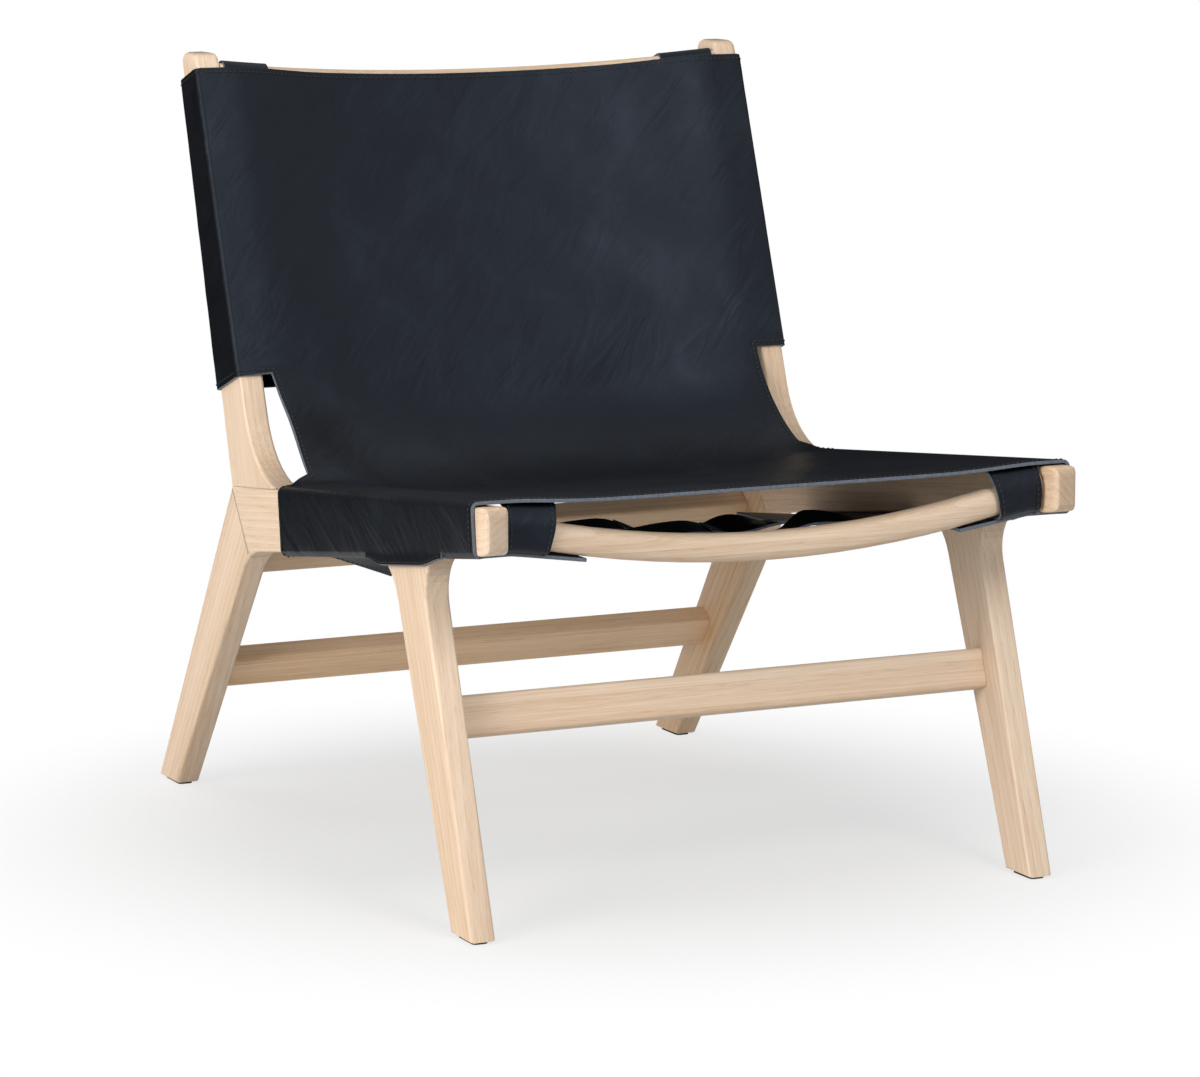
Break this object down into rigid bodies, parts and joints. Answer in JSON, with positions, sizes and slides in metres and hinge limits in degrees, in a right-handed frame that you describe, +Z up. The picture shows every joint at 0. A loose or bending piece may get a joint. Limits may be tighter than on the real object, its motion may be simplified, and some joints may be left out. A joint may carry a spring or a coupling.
{
  "type": "sling lounge chair",
  "caption": "Armless lounge chair: a black hide sling wrapped round an ash frame with splayed legs, tied to bowed front and top rails and drawn tight by buckled straps.",
  "frame": {"origin": "on the floor under the middle of the chair", "axes": "+Z up, the sitter faces -Y, +X is across to the sitter's left"},
  "size_m": [0.6106, 0.82, 0.76],
  "materials": {
    "ash": "clear matt lacquer on pale ash",
    "dowel_wood": "raw beech dowel",
    "black_hide": "black saddle hide with raw edges",
    "bronze": "dark bronze buckle",
    "glide_felt": "dark felt glide"
  },
  "bodies": {
    "chair": {"left_front_leg": "ash", "left_side_rail": "ash", "left_rear_leg": "ash", "left_back_post": "ash", "left_leg_dowel_a": "dowel_wood", "left_leg_dowel_b": "dowel_wood", "left_knee_dowel_a": "dowel_wood", "left_knee_dowel_b": "dowel_wood", "left_post_dowel_a": "dowel_wood", "left_post_dowel_b": "dowel_wood", "left_front_glide": "glide_felt", "left_rear_glide": "glide_felt", "right_front_leg": "ash", "right_side_rail": "ash", "right_rear_leg": "ash", "right_back_post": "ash", "right_leg_dowel_a": "dowel_wood", "right_leg_dowel_b": "dowel_wood", "right_knee_dowel_a": "dowel_wood", "right_knee_dowel_b": "dowel_wood", "right_post_dowel_a": "dowel_wood", "right_post_dowel_b": "dowel_wood", "right_front_glide": "glide_felt", "right_rear_glide": "glide_felt", "front_stretcher": "ash", "rear_stretcher": "ash", "rear_seat_rail": "ash", "front_seat_rail": "ash", "top_back_rail": "ash", "sling": "black_hide", "left_front_loop": "black_hide", "left_top_loop": "black_hide", "right_front_loop": "black_hide", "right_top_loop": "black_hide", "front_strap_buckle": "bronze", "front_strap_buckle_end": "black_hide", "front_strap_tail": "black_hide", "front_strap_keeper": "black_hide", "rear_strap_buckle": "bronze", "rear_strap_buckle_end": "black_hide", "rear_strap_tail": "black_hide", "rear_strap_keeper": "black_hide", "lower_back_strap_buckle": "bronze", "lower_back_strap_buckle_end": "black_hide", "lower_back_strap_tail": "black_hide", "lower_back_strap_keeper": "black_hide", "upper_back_strap_buckle": "bronze", "upper_back_strap_buckle_end": "black_hide", "upper_back_strap_tail": "black_hide", "upper_back_strap_keeper": "black_hide"},
    "front_strap_prong": {"front_strap_prong": "bronze"},
    "rear_strap_prong": {"rear_strap_prong": "bronze"},
    "lower_back_strap_prong": {"lower_back_strap_prong": "bronze"},
    "upper_back_strap_prong": {"upper_back_strap_prong": "bronze"}
  },
  "joints": [
    {"name": "front_strap_prong_pivot", "type": "hinge", "parent": "chair", "child": "front_strap_prong", "pos_m": [0.049, -0.25064, 0.32535], "axis": [0, 0.9898, -0.1426], "range_deg": [0, 40]},
    {"name": "rear_strap_prong_pivot", "type": "hinge", "parent": "chair", "child": "rear_strap_prong", "pos_m": [0.072, -0.01764, 0.29178], "axis": [0, 0.9898, -0.1426], "range_deg": [0, 40]},
    {"name": "lower_back_strap_prong_pivot", "type": "hinge", "parent": "chair", "child": "lower_back_strap_prong", "pos_m": [0.049, 0.2487, 0.50357], "axis": [0, 0.2857, 0.9583], "range_deg": [0, 40]},
    {"name": "upper_back_strap_prong_pivot", "type": "hinge", "parent": "chair", "child": "upper_back_strap_prong", "pos_m": [0.049, 0.28449, 0.62363], "axis": [0, 0.2857, 0.9583], "range_deg": [0, 40]}
  ]
}
